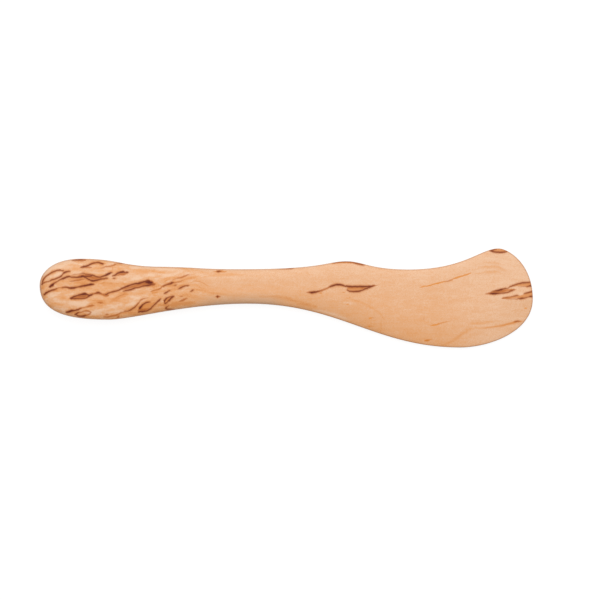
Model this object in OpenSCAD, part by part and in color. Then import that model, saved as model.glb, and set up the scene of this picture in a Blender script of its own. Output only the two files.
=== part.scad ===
// Butter knife carved from one piece of curly birch: a round-ended handle, a slim neck
// and a deep spreading blade. It is cut from a wedge of board, thick at the butt and thin
// at the blade's end, whose two faces stay as flats along the middle. It lies on its side:
// X runs from the butt to the blade's end, +Y is the side of the back, and +Z is up. The
// origin is under the middle of the knife, on the surface that it lies on.

/* [Lengths] */
// From the butt to the narrowest place of the neck
handle_l = 76; // [68:0.5:88]
// From the narrowest place of the neck to the blade's end
blade_l = 104; // [92:0.5:120]

/* [Handle outline] */
// Height of the butt's foremost point over the long line
butt_up = 0.7; // [-2:0.1:2]
// Distance from the butt to the crest of the handle's swell
crest_at = 15; // [12:0.5:20]
// Height of that crest over the long line
crest_up = 10.3; // [8:0.1:12]
// Distance from the butt to the lowest place of the swell
swell_at = 25; // [18:0.5:30]
// Depth of the swell under the long line
swell_down = 11.9; // [9:0.1:13]
// Distance from the butt to where the shaft starts, on the back
shaft_at = 43.5; // [36:0.5:50]
// Height of the shaft's start over the long line
shaft_up = 7.4; // [6.5:0.1:8.4]
// Slope of the back along the shaft's start, in degrees
shaft_slope = -0.8; // [-3:0.1:0]
// Distance from the neck's narrowest place back to the low place of the back
neck_at = 2.5; // [0:0.5:6]
// Height of the neck over the long line
neck_up = 6.5; // [5:0.1:7]
// Depth of the neck under the long line
neck_down = 6.1; // [5:0.1:8]

/* [Blade outline] */
// Distance from the blade's end to the thumb rest
thumb_at = 68; // [62:0.5:76]
// Height of the thumb rest over the long line
thumb_up = 9.4; // [8:0.1:12]
// Distance from the blade's end to the hollow of the back
hollow_at = 45.5; // [38:0.5:54]
// Height of the hollow over the long line
hollow_up = 6.4; // [5:0.1:7.5]
// Distance from the blade's end to the upper corner
corner_at = 12.5; // [9:0.5:18]
// Height of the upper corner over the long line
corner_up = 14.1; // [10:0.1:18]
// Depth of the end's foremost point under the long line
end_down = 4.4; // [2:0.1:8]
// Distance from the blade's end to the lowest place of the belly
belly_at = 26.5; // [20:0.5:34]
// Depth of the belly under the long line
belly_down = 22.1; // [16:0.1:26]

/* [Curves] */
// How long each curve holds its heading, as shares of its stretch at the start and the end
butt_to_crest = [0.46, 0.7]; // [0.1:0.01:0.9]
// From the crest of the swell to the shaft
crest_to_shaft = [0.49, 0.49]; // [0.1:0.01:0.9]
// From the shaft's start to the neck
shaft_to_neck = [0.56, 0.58]; // [0.1:0.01:0.9]
// From the neck up to the thumb rest
neck_to_thumb = [0.79, 0.2]; // [0.1:0.01:0.9]
// From the thumb rest into the hollow
thumb_to_hollow = [0.26, 0.62]; // [0.1:0.01:0.9]
// From the hollow up to the corner
hollow_to_corner = [0.62, 0.2]; // [0.1:0.01:0.9]
// From the corner round to the end
corner_to_end = [0.27, 0.71]; // [0.1:0.01:0.9]
// From the butt round to the lowest place of the swell
butt_to_swell = [0.77, 0.64]; // [0.1:0.01:0.9]
// From the swell to the neck, underneath
swell_to_neck = [0.17, 0.45]; // [0.1:0.01:0.9]
// From the neck down to the belly
neck_to_belly = [0.43, 0.4]; // [0.1:0.01:0.9]
// From the belly round to the end
belly_to_end = [0.39, 0.68]; // [0.1:0.01:0.9]

/* [Thickness] */
// Thickness of the wedge at the butt
butt_t = 10; // [7:0.5:14]
// Thickness of the wedge at the blade's end
end_t = 2; // [1.5:0.1:4]
// Upright rim round the handle
handle_rim = 0.6; // [0.3:0.1:2]
// Upright rim of the blade's back, where the blade begins
back_rim = 1.2; // [0.6:0.1:2]
// Upright rim of the spreading edge, along the belly
edge_rim = 0.7; // [0.4:0.1:1.2]
// Upright rim round the blade's end
end_rim = 0.9; // [0.4:0.1:1.3]
// How far the carving would rise past the board's faces, as a share of its height
overshoot = 0.015; // [0.01:0.001:0.03]

/* [Section] */
// Fullness of the handle's section, where 2 is an oval and more is squarer
handle_full = 3; // [2.2:0.1:5]
// Fullness of the neck's section
neck_full = 3; // [2.2:0.1:5]
// Fullness towards the back, where the blade begins
back_full = 3; // [2.2:0.1:5]
// Fullness towards the belly there, which thins the blade to its spreading edge
belly_full = 2.3; // [2:0.1:5]
// Fullness at the blade's end
end_full = 5; // [3:0.1:8]
// Distance from the butt to where the rounding of the butt starts
butt_round = 11; // [8:0.5:15]
// Distance from the blade's end to where the rounding of the end starts
end_round = 20; // [14:0.5:26]

/* [Hidden] */

WOOD = "#e6b78c";

// Steps along the knife: round the butt, along the middle, and round the blade's end
BUTT_STEPS = 14;
MIDDLE_STEPS = 70;
END_STEPS = 28;
// Rings from the rim up to the board's face, on each side
RINGS = 9;

// How far before the upper corner the closer steps round the blade's end begin
CORNER_LEAD = 5.5;

total_l = handle_l + blade_l;
end_reach = corner_at + CORNER_LEAD;

// Headings that the outline can have at a place
UPRIGHT = [0, 1];
LEVEL = [1, 0];

// Places of the outline: distance from the butt, height over the long line, heading
butt = [0, butt_up, UPRIGHT];
crest = [crest_at, crest_up, LEVEL];
shaft = [shaft_at, shaft_up, [1, tan(shaft_slope)]];
neck_above = [handle_l - neck_at, neck_up, LEVEL];
thumb = [total_l - thumb_at, thumb_up, LEVEL];
hollow = [total_l - hollow_at, hollow_up, LEVEL];
corner = [total_l - corner_at, corner_up, LEVEL];
blade_end = [total_l, -end_down, UPRIGHT];
belly = [total_l - belly_at, -belly_down, LEVEL];
neck_below = [handle_l, -neck_down, LEVEL];
swell = [swell_at, -swell_down, LEVEL];

back_line = [
    stretch(butt, crest, butt_to_crest),
    stretch(crest, shaft, crest_to_shaft),
    stretch(shaft, neck_above, shaft_to_neck),
    stretch(neck_above, thumb, neck_to_thumb),
    stretch(thumb, hollow, thumb_to_hollow),
    stretch(hollow, corner, hollow_to_corner),
    stretch(corner, blade_end, corner_to_end),
];
belly_line = [
    stretch(butt, swell, butt_to_swell),
    stretch(swell, neck_below, swell_to_neck),
    stretch(neck_below, belly, neck_to_belly),
    stretch(belly, blade_end, belly_to_end),
];

// Two places as the four control points of the curve between them
function stretch(from, to, hold) = [
    place(from),
    place(from) + hold[0] * run(from, place(to) - place(from)),
    place(to) - hold[1] * run(to, place(to) - place(from)),
    place(to),
];
function place(p) = [p.x, p.y];
// The part of a span that runs along a place's heading
function run(p, span) = p[2] == UPRIGHT ? span.y * p[2] : span.x * p[2];

function curve(c, t) =
    pow(1 - t, 3) * c[0] + 3 * pow(1 - t, 2) * t * c[1] + 3 * (1 - t) * t * t * c[2] + t * t * t * c[3];
// Height of a curve over the distance x from the butt, found by halving the stretch
function height(c, x, low = 0, high = 1, halvings = 24) =
    let (half = (low + high) / 2)
    halvings == 0 ? curve(c, half).y
    : curve(c, half).x < x ? height(c, x, half, high, halvings - 1)
    : height(c, x, low, half, halvings - 1);
function line_height(line, x) =
    let (inside = [for (c = line) if (x >= c[0].x && x <= c[3].x) c])
    height(inside[0], x);

// Distances from the butt at which the outline has a point on each side
function round_in(i, steps) = 1 - cos(90 * i / steps);
stations = concat(
    [for (i = [1 : BUTT_STEPS]) crest_at * round_in(i, BUTT_STEPS)],
    [for (i = [1 : MIDDLE_STEPS]) crest_at + (total_l - end_reach - crest_at) * i / MIDDLE_STEPS],
    [for (i = [1 : END_STEPS - 1]) total_l - end_reach * round_in(END_STEPS - i, END_STEPS)]
);
back = [for (x = stations) [x, line_height(back_line, x)]];
front = [for (x = stations) [x, line_height(belly_line, x)]];
// Round the knife: along the back to the blade's end, and home along the belly
outline = concat([place(butt)], back, [place(blade_end)], reverse(front));
function reverse(list) = [for (i = [len(list) - 1 : -1 : 0]) list[i]];

// The middle line of the knife, from the butt's rounding to the end's
function middle(x) =
    let (at = min(max(x, butt_round), total_l - end_round))
    [at, (line_height(back_line, at) + line_height(belly_line, at)) / 2];

function thickness(x) = butt_t + (end_t - butt_t) * x / total_l;
// A value that passes smoothly from one to the next of a list of [distance, value]
function smooth(t) = t * t * (3 - 2 * t);
function passing(list, x) =
    let (
        i = max([for (k = [0 : len(list) - 2]) if (k == 0 || x >= list[k][0]) k]),
        t = (x - list[i][0]) / (list[i + 1][0] - list[i][0])
    )
    list[i][1] + (list[i + 1][1] - list[i][1]) * smooth(min(max(t, 0), 1));
function fullness(p) = passing([
    [swell_at, handle_full],
    [handle_l, neck_full],
    [thumb.x, on_back(p) ? back_full : belly_full],
    [corner.x, end_full],
], p.x);
function rim(p) = passing([
    [shaft_at, handle_rim],
    [thumb.x, on_back(p) ? back_rim : edge_rim],
    [corner.x, end_rim],
], p.x);
function on_back(p) = p.y > middle(p.x).y;

// A point of ring k in from the outline's point p, on the upper face or the lower one
function ring_point(p, k, face) =
    let (
        angle = 90 * k / (RINGS + 1),
        power = 2 / fullness(p),
        inward = 1 - pow(cos(angle), power),
        raised = (1 + overshoot) * pow(sin(angle), power),
        q = p + inward * (middle(p.x) - p),
        half_t = thickness(q.x) / 2,
        half_rim = rim(p) / 2
    )
    [q.x, q.y, half_t + face * (half_rim + (half_t - half_rim) * raised)];

// The wedge of board that the knife is cut from, with some waste round the outline
module board() {
    waste = 5;
    from = -waste;
    to = total_l + waste;
    rotate([90, 0, 0]) linear_extrude(2 * (max(belly_down, corner_up) + waste), center = true)
        polygon([[from, 0], [to, 0], [to, thickness(to)], [from, thickness(from)]]);
}

// One closed skin: rings of the upper face, rings of the lower face, a band between
// them round the rim, and the space inside each innermost ring
module carving() {
    n = len(outline);
    rows = RINGS + 1;
    points = [for (face = [1, -1]) for (k = [0 : RINGS]) for (p = outline) ring_point(p, k, face)];
    // Two triangles between ring a and ring b, from point i of each to the next
    function band(a, b, i) =
        let (j = (i + 1) % n)
        [[a * n + i, a * n + j, b * n + j], [a * n + i, b * n + j, b * n + i]];
    // Two triangles inside the innermost ring, from one side of the knife to the other
    function across(a, i) =
        [[a * n + i, a * n + i + 1, a * n + n - i - 1], [a * n + i, a * n + n - i - 1, a * n + n - i]];
    function inside(a) = concat(
        [[a * n, a * n + 1, a * n + n - 1]],
        [for (i = [1 : n / 2 - 2]) each across(a, i)],
        [[a * n + n / 2 - 1, a * n + n / 2, a * n + n / 2 + 1]]
    );
    function turned(faces) = [for (f = faces) [f[2], f[1], f[0]]];
    upper = [for (k = [0 : RINGS - 1]) for (i = [0 : n - 1]) each band(k, k + 1, i)];
    lower = [for (k = [0 : RINGS - 1]) for (i = [0 : n - 1]) each band(rows + k, rows + k + 1, i)];
    rim_band = [for (i = [0 : n - 1]) each band(0, rows, i)];
    polyhedron(points, concat(
        upper, inside(RINGS), turned(lower), turned(inside(rows + RINGS)), turned(rim_band)));
}

module butter_knife() {
    highest = max(crest_up, thumb_up, corner_up);
    lowest = -max(swell_down, belly_down);
    color(WOOD) translate([-total_l / 2, -(highest + lowest) / 2, 0]) intersection() {
        carving();
        board();
    }
}

butter_knife();
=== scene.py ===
import math

import bmesh
import bpy
import numpy as np
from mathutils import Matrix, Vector


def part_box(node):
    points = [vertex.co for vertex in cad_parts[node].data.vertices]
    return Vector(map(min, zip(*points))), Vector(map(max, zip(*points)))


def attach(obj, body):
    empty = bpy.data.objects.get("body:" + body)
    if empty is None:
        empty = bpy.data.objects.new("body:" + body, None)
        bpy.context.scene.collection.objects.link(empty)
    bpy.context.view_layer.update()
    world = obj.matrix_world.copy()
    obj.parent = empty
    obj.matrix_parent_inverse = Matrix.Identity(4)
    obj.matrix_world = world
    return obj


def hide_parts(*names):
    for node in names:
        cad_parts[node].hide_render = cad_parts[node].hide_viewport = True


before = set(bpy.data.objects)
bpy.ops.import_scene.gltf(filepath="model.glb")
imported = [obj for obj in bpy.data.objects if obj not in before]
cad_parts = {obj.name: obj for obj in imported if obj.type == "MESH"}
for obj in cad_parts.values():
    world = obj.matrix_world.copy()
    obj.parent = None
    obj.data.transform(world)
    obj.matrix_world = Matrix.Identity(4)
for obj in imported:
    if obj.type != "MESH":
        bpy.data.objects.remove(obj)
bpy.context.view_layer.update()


# The view
# The knife lies flat and is seen from straight above, its back to the top of the picture,
# with a long lens a metre and a half away. The four edges of the knife in the picture, in
# pixels, fix the lens and the camera's place.
PICTURE = 600
BUTT_EDGE = 39.8
BLADE_END_EDGE = 532.7
BACK_CORNER_EDGE = 248.2
BELLY_EDGE = 347.8
SENSOR_MM = 36.0
CAMERA_HEIGHT = 1.5

knife_low, knife_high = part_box("butter_knife")
# The outline lies at half the thickness: 5 mm up at the butt, 1 mm at the end, 1.5 mm at
# the blade's corner and belly
BUTT_UP = 0.005
END_UP = 0.001
BLADE_UP = 0.0015
butt_reach = (PICTURE / 2 - BUTT_EDGE) * (CAMERA_HEIGHT - BUTT_UP)
end_reach = (BLADE_END_EDGE - PICTURE / 2) * (CAMERA_HEIGHT - END_UP)
pixels_a_metre_off = (butt_reach + end_reach) / (knife_high.x - knife_low.x)
camera_x = knife_high.x - end_reach / pixels_a_metre_off
blade_middle = (BACK_CORNER_EDGE + BELLY_EDGE) / 2 - PICTURE / 2
camera_y = ((knife_low.y + knife_high.y) / 2
            + blade_middle * (CAMERA_HEIGHT - BLADE_UP) / pixels_a_metre_off)

camera = bpy.data.cameras.new("camera")
camera.sensor_width = SENSOR_MM
camera.lens = pixels_a_metre_off * SENSOR_MM / PICTURE
camera_object = bpy.data.objects.new("camera", camera)
camera_object.location = (camera_x, camera_y, CAMERA_HEIGHT)
bpy.context.scene.collection.objects.link(camera_object)
bpy.context.scene.camera = camera_object
bpy.context.scene.view_settings.view_transform = "Standard"


# The floor and the light
# A sheet of matt white card, under an even white surround and one broad soft lamp that
# stands beyond the knife's back. The card stays white in the picture and keeps the
# faint shadow close under the knife.
CARD_GREY = "#c4c4c4"
CARD_WHITE = "#ffffff"
CARD_GLOW = 0.88
CARD_SHARE = 0.2
CARD_WIDTH = 6.0
CARD_UNDER_KNIFE = 0.00002
SURROUND = 0.51
# The lamp's rise is in degrees and its power in watts
LAMP_WIDTH = 0.9
LAMP_AWAY = 1.1
LAMP_RISE = 64
LAMP_POWER = 7.0


def linear(hex_colour):
    """A colour written as #rrggbb, as linear red, green, blue and alpha."""
    parts = [int(hex_colour[i:i + 2], 16) / 255 for i in (1, 3, 5)]
    return [c / 12.92 if c <= 0.04045 else ((c + 0.055) / 1.055) ** 2.4 for c in parts] + [1.0]


def add(tree, kind, links=None, **settings):
    """Adds one node, with its settings. Each socket in links gets a node, a socket or a value."""
    node = tree.nodes.new(kind)
    for name, value in settings.items():
        setattr(node, name, value)
    for socket, source in (links or {}).items():
        if isinstance(source, bpy.types.Node):
            source = source.outputs[0]
        if isinstance(source, bpy.types.NodeSocket):
            tree.links.new(source, node.inputs[socket])
        else:
            node.inputs[socket].default_value = source
    return node


def seen_itself(tree):
    """1 where the surface is seen, straight or in a gloss, and 0 where it only lights the knife."""
    path = add(tree, "ShaderNodeLightPath")
    camera_or_gloss = add(tree, "ShaderNodeMath", {
        0: path.outputs["Is Camera Ray"], 1: path.outputs["Is Glossy Ray"]}, operation="MAXIMUM")
    return add(tree, "ShaderNodeMath", {
        0: camera_or_gloss, 1: path.outputs["Is Transmission Ray"]}, operation="MAXIMUM")


card = bpy.data.materials.new("matt white card")
card.use_nodes = True
card.node_tree.nodes.clear()
tree = card.node_tree
seen = seen_itself(tree)
lit = add(tree, "ShaderNodeBsdfDiffuse", {"Color": linear(CARD_GREY)})
dimmed = add(tree, "ShaderNodeBsdfDiffuse", {"Color": [CARD_SHARE] * 3 + [1.0]})
glow = add(tree, "ShaderNodeEmission", {"Color": linear(CARD_WHITE), "Strength": CARD_GLOW})
seen_card = add(tree, "ShaderNodeAddShader", {0: dimmed, 1: glow})
surface = add(tree, "ShaderNodeMixShader", {0: seen, 1: lit, 2: seen_card})
add(tree, "ShaderNodeOutputMaterial", {"Surface": surface})

floor_mesh = bpy.data.meshes.new("floor")
half = CARD_WIDTH / 2
corners = [(-half, -half, 0), (half, -half, 0), (half, half, 0), (-half, half, 0)]
floor_mesh.from_pydata(corners, [], [(0, 1, 2, 3)])
floor_mesh.materials.append(card)
floor = bpy.data.objects.new("floor", floor_mesh)
floor.location.z = knife_low.z - CARD_UNDER_KNIFE
bpy.context.scene.collection.objects.link(floor)

world = bpy.data.worlds.new("even white surround")
world.use_nodes = True
world.node_tree.nodes.clear()
tree = world.node_tree
strength = add(tree, "ShaderNodeMapRange", {
    "Value": seen_itself(tree), "To Min": SURROUND, "To Max": 1.0})
white = add(tree, "ShaderNodeBackground", {"Color": linear(CARD_WHITE), "Strength": strength})
add(tree, "ShaderNodeOutputWorld", {"Surface": white})
bpy.context.scene.world = world

lamp = bpy.data.lights.new("soft lamp", "AREA")
lamp.shape = "SQUARE"
lamp.size = LAMP_WIDTH
lamp.energy = LAMP_POWER
lamp_object = bpy.data.objects.new("soft lamp", lamp)
rise = math.radians(LAMP_RISE)
lamp_object.location = (0, LAMP_AWAY * math.cos(rise), LAMP_AWAY * math.sin(rise))
lamp_object.rotation_euler = Vector(lamp_object.location).to_track_quat("Z", "Y").to_euler()
bpy.context.scene.collection.objects.link(lamp_object)


# The knife
# One piece of curly birch, sawn as a board that thins from 10 mm at the butt to 2 mm at the
# blade's end, cut to the outline, then rounded over by knife and abrasive from both faces,
# so that the handle is a full oval and the blade runs out to a thin spreading edge.
BUTT_THICK = 0.010
END_THICK = 0.002
# Places along the knife, measured from the butt
SHAFT = 0.0435
NECK = 0.076
THUMB_REST = 0.112
CORNER = 0.1675
BUTT_ROUND = 0.011
END_ROUND = 0.020
# Height of the upright band round the outline
HANDLE_RIM = 0.0006
BACK_RIM = 0.0012
EDGE_RIM = 0.0007
END_RIM = 0.0009
# Fullness of the section, where 2 is an oval and more is squarer
HANDLE_FULL = 3.0
BACK_FULL = 3.0
BELLY_FULL = 2.3
END_FULL = 5.0
# The faces rise this share over the board and are cut flat by it
OVERSHOOT = 0.015
# Reach of the closer steps round the butt and round the blade's end
BUTT_CURVE = 0.015
END_CURVE = 0.018
STEPS_ROUND_BUTT = 30
STEPS_ALONG = 280
STEPS_ROUND_END = 60
STEPS_UP_SIDE = 26
# Places this close are one place, and a face that faces up or down this little is upright
MICRON = 1e-6
UPRIGHT = 1e-3
# The middle column belongs to the belly, and the next one to the back
JUST_PAST_MIDDLE = 1.0001

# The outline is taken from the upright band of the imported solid, so the carved knife is the
# one that the solid stands for. A merged copy of its mesh gives the places round the band.
solid = bmesh.new()
solid.from_mesh(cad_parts["butter_knife"].data)
bmesh.ops.remove_doubles(solid, verts=solid.verts, dist=MICRON)
upright = [f for f in solid.faces if abs(f.normal.z) < UPRIGHT]
band = sorted({(round(v.co.x, 6), round(v.co.y, 6)) for f in upright for v in f.verts})
solid.free()
# Each place along the band has one place on the back and one on the belly
sides = {}
for x, y in band:
    near = (x, round(x - MICRON, 6), round(x + MICRON, 6))
    key = next((k for k in near if k in sides), x)
    sides.setdefault(key, []).append(y)
xs = sorted(sides)
back_places = [(x, max(sides[x])) for x in xs]
belly_places = [(x, min(sides[x])) for x in xs[1:-1]]
ring = np.array(back_places + belly_places[::-1])


def eased_ring(places, finer=24):
    """A closed ring of places with a smooth curve laid through them, at finer steps."""
    after = np.roll(places, -1, 0)
    span = np.linalg.norm(after - places, axis=1)[:, None]
    slope = (after - places) / span
    span_before = np.roll(span, 1, 0)
    heading = (np.roll(slope, 1, 0) * span + slope * span_before) / (span + span_before)
    t = np.linspace(0, 1, finer, endpoint=False)[None, :, None]
    p, q = places[:, None], after[:, None]
    m, n = (heading * span)[:, None], (np.roll(heading, -1, 0) * span)[:, None]
    curve = ((2 * t**3 - 3 * t**2 + 1) * p + (t**3 - 2 * t**2 + t) * m
             + (3 * t**2 - 2 * t**3) * q + (t**3 - t**2) * n)
    return curve.reshape(-1, 2)


fine = eased_ring(ring)
fine_end = int(np.argmax(fine[:, 0]))
back_curve = fine[:fine_end + 1]
belly_curve = np.vstack([fine[fine_end:], fine[:1]])[::-1]

# Stations along the knife stand closer together round the butt and round the blade's end
length = xs[-1] - xs[0]
quarter_turn = math.pi / 2
round_butt = BUTT_CURVE * (1 - np.cos(np.linspace(0, quarter_turn, STEPS_ROUND_BUTT + 1)))
round_end = length - END_CURVE * (1 - np.cos(np.linspace(quarter_turn, 0, STEPS_ROUND_END + 1)))
along = np.linspace(round_butt[-1], round_end[0], STEPS_ALONG + 1)
stations = xs[0] + np.concatenate([round_butt, along[1:-1], round_end])
back_y = np.interp(stations, back_curve[:, 0], back_curve[:, 1])
belly_y = np.interp(stations, belly_curve[:, 0], belly_curve[:, 1])
belly_y[0] = back_y[0]
belly_y[-1] = back_y[-1]
middle_x = np.clip(stations, xs[0] + BUTT_ROUND, xs[-1] - END_ROUND)
middle = (np.interp(middle_x, stations, back_y) + np.interp(middle_x, stations, belly_y)) / 2

# A line of points down the back, each carrying its partner on the belly and its place on
# the middle line
zero = np.zeros_like(stations)
line = bpy.data.meshes.new("stations")
line.from_pydata(np.column_stack([stations, back_y, zero]).tolist(), [], [])
belly_place = line.attributes.new("belly_place", "FLOAT_VECTOR", "POINT")
belly_place.data.foreach_set("vector", np.column_stack([stations, belly_y, zero]).ravel())
middle_place = line.attributes.new("middle_place", "FLOAT_VECTOR", "POINT")
middle_place.data.foreach_set("vector", np.column_stack([middle_x, middle, zero]).ravel())

# The carving tree: a grid with a row for each station and a column for each place round the
# section, set in place by the rule of the section
carving = bpy.data.node_groups.new("carve the knife", "GeometryNodeTree")
carving.interface.new_socket(name="Stations", in_out="INPUT", socket_type="NodeSocketGeometry")
sizes = {
    "Butt place": xs[0],
    "Knife length": length,
    "Butt thickness": BUTT_THICK,
    "End thickness": END_THICK,
    "Shaft": SHAFT,
    "Neck": NECK,
    "Thumb rest": THUMB_REST,
    "Corner": CORNER,
    "Handle rim": HANDLE_RIM,
    "Back rim": BACK_RIM,
    "Edge rim": EDGE_RIM,
    "End rim": END_RIM,
    "Handle fullness": HANDLE_FULL,
    "Back fullness": BACK_FULL,
    "Belly fullness": BELLY_FULL,
    "End fullness": END_FULL,
    "Overshoot": OVERSHOOT,
}
kinds = {name: "NodeSocketFloat" for name in sizes}
kinds["Steps up a side"] = "NodeSocketInt"
kinds["Wood"] = "NodeSocketMaterial"
sockets = {}
for name, kind in kinds.items():
    sockets[name] = carving.interface.new_socket(name=name, in_out="INPUT", socket_type=kind)
carving.interface.new_socket(name="Knife", in_out="OUTPUT", socket_type="NodeSocketGeometry")

tree = carving
given = add(tree, "NodeGroupInput")
steps = given.outputs["Steps up a side"]
turn = add(tree, "ShaderNodeMath", {0: steps, 1: 4.0, 2: 2.0}, operation="MULTIPLY_ADD")
columns = add(tree, "ShaderNodeMath", {0: turn, 1: 1.0}, operation="ADD")
count = add(tree, "GeometryNodeAttributeDomainSize", {0: given.outputs["Stations"]})
grid = add(tree, "GeometryNodeMeshGrid", {
    "Vertices X": count.outputs["Point Count"], "Vertices Y": columns})

index = add(tree, "GeometryNodeInputIndex")
place = add(tree, "ShaderNodeMath", {0: index, 1: columns}, operation="DIVIDE")
station = add(tree, "ShaderNodeMath", {0: place}, operation="FLOOR")
column = add(tree, "ShaderNodeMath", {0: index, 1: columns}, operation="FLOORED_MODULO")
column = add(tree, "ShaderNodeMath", {0: column, 1: turn}, operation="FLOORED_MODULO")
# The upper face is the first half of the round, the lower face the second
half_turn = add(tree, "ShaderNodeMath", {0: turn, 1: 0.5}, operation="MULTIPLY")
last_upper = add(tree, "ShaderNodeMath", {0: half_turn, 1: 0.5}, operation="SUBTRACT")
lower = add(tree, "ShaderNodeMath", {0: column, 1: last_upper}, operation="GREATER_THAN")
gone = add(tree, "ShaderNodeMath", {0: lower, 1: half_turn}, operation="MULTIPLY")
face_step = add(tree, "ShaderNodeMath", {0: column, 1: gone}, operation="SUBTRACT")
across = add(tree, "ShaderNodeMath", {0: face_step, 1: steps}, operation="DIVIDE")
past_middle = add(tree, "ShaderNodeMath", {0: across, 1: JUST_PAST_MIDDLE},
                  operation="GREATER_THAN")
on_back = add(tree, "ShaderNodeMath", {0: past_middle, 1: lower, 2: 0.1}, operation="COMPARE")
from_middle = add(tree, "ShaderNodeMath", {0: across, 1: 1.0}, operation="SUBTRACT")
from_middle = add(tree, "ShaderNodeMath", {0: from_middle}, operation="ABSOLUTE")
angle = add(tree, "ShaderNodeMath", {0: from_middle, 1: -quarter_turn, 2: quarter_turn},
            operation="MULTIPLY_ADD")

# The station's place on the back, its partner on the belly and its place on the middle line
found = []
for name in ("position", "belly_place", "middle_place"):
    noted_place = add(tree, "GeometryNodeInputNamedAttribute", {"Name": name},
                      data_type="FLOAT_VECTOR")
    found.append(add(tree, "GeometryNodeSampleIndex", {
        "Geometry": given.outputs["Stations"], "Value": noted_place.outputs["Attribute"],
        "Index": station}, data_type="FLOAT_VECTOR"))
back_point, belly_point, middle_point = found
edge_point = add(tree, "ShaderNodeMix", {0: on_back, 4: belly_point, 5: back_point},
                 data_type="VECTOR")

# Fullness and rim pass smoothly from place to place along the knife
edge_split = add(tree, "ShaderNodeSeparateXYZ", {0: edge_point.outputs[1]})
distance = add(tree, "ShaderNodeMath", {0: edge_split.outputs["X"], 1: given.outputs["Butt place"]},
               operation="SUBTRACT")
blade_full = add(tree, "ShaderNodeMix", {
    0: on_back, 2: given.outputs["Belly fullness"], 3: given.outputs["Back fullness"]},
    data_type="FLOAT")
fullness = add(tree, "ShaderNodeMapRange", {
    "Value": distance, "From Min": given.outputs["Neck"], "From Max": given.outputs["Thumb rest"],
    "To Min": given.outputs["Handle fullness"], "To Max": blade_full}, interpolation_type="SMOOTHSTEP")
fullness = add(tree, "ShaderNodeMapRange", {
    "Value": distance, "From Min": given.outputs["Thumb rest"], "From Max": given.outputs["Corner"],
    "To Min": fullness, "To Max": given.outputs["End fullness"]}, interpolation_type="SMOOTHSTEP")
blade_rim = add(tree, "ShaderNodeMix", {
    0: on_back, 2: given.outputs["Edge rim"], 3: given.outputs["Back rim"]},
    data_type="FLOAT")
rim = add(tree, "ShaderNodeMapRange", {
    "Value": distance, "From Min": given.outputs["Shaft"], "From Max": given.outputs["Thumb rest"],
    "To Min": given.outputs["Handle rim"], "To Max": blade_rim}, interpolation_type="SMOOTHSTEP")
rim = add(tree, "ShaderNodeMapRange", {
    "Value": distance, "From Min": given.outputs["Thumb rest"], "From Max": given.outputs["Corner"],
    "To Min": rim, "To Max": given.outputs["End rim"]}, interpolation_type="SMOOTHSTEP")

power = add(tree, "ShaderNodeMath", {0: 2.0, 1: fullness}, operation="DIVIDE")
cosine = add(tree, "ShaderNodeMath", {0: angle}, operation="COSINE")
cosine = add(tree, "ShaderNodeMath", {0: cosine, 1: 0.0}, operation="MAXIMUM")
outward = add(tree, "ShaderNodeMath", {0: cosine, 1: power}, operation="POWER")
sine = add(tree, "ShaderNodeMath", {0: angle}, operation="SINE")
sine = add(tree, "ShaderNodeMath", {0: sine, 1: 0.0}, operation="MAXIMUM")
raised = add(tree, "ShaderNodeMath", {0: sine, 1: power}, operation="POWER")
above_one = add(tree, "ShaderNodeMath", {0: given.outputs["Overshoot"], 1: 1.0}, operation="ADD")
raised = add(tree, "ShaderNodeMath", {0: raised, 1: above_one}, operation="MULTIPLY")
raised = add(tree, "ShaderNodeMath", {0: raised, 1: 1.0}, operation="MINIMUM")
skin_point = add(tree, "ShaderNodeMix", {0: outward, 4: middle_point, 5: edge_point.outputs[1]},
                 data_type="VECTOR")

# Half the board's thickness there is both the height of the middle plane and the most that
# the face may rise over it
skin_split = add(tree, "ShaderNodeSeparateXYZ", {0: skin_point.outputs[1]})
skin_distance = add(tree, "ShaderNodeMath", {
    0: skin_split.outputs["X"], 1: given.outputs["Butt place"]}, operation="SUBTRACT")
half_butt = add(tree, "ShaderNodeMath", {0: given.outputs["Butt thickness"], 1: 0.5},
                operation="MULTIPLY")
half_end = add(tree, "ShaderNodeMath", {0: given.outputs["End thickness"], 1: 0.5},
               operation="MULTIPLY")
half_thick = add(tree, "ShaderNodeMapRange", {
    "Value": skin_distance, "From Min": 0.0, "From Max": given.outputs["Knife length"],
    "To Min": half_butt, "To Max": half_end})
half_rim = add(tree, "ShaderNodeMath", {0: rim, 1: 0.5}, operation="MULTIPLY")
over_rim = add(tree, "ShaderNodeMath", {0: half_thick, 1: half_rim}, operation="SUBTRACT")
rise_over = add(tree, "ShaderNodeMath", {0: over_rim, 1: raised, 2: half_rim},
                operation="MULTIPLY_ADD")
side_sign = add(tree, "ShaderNodeMath", {0: lower, 1: -2.0, 2: 1.0}, operation="MULTIPLY_ADD")
skin_up = add(tree, "ShaderNodeMath", {0: rise_over, 1: side_sign, 2: half_thick},
              operation="MULTIPLY_ADD")
skin_place = add(tree, "ShaderNodeCombineXYZ", {
    "X": skin_split.outputs["X"], "Y": skin_split.outputs["Y"], "Z": skin_up})
back_sign = add(tree, "ShaderNodeMath", {0: on_back, 1: 2.0, 2: -1.0}, operation="MULTIPLY_ADD")
toward_back = add(tree, "ShaderNodeMath", {0: outward, 1: back_sign}, operation="MULTIPLY")
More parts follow.
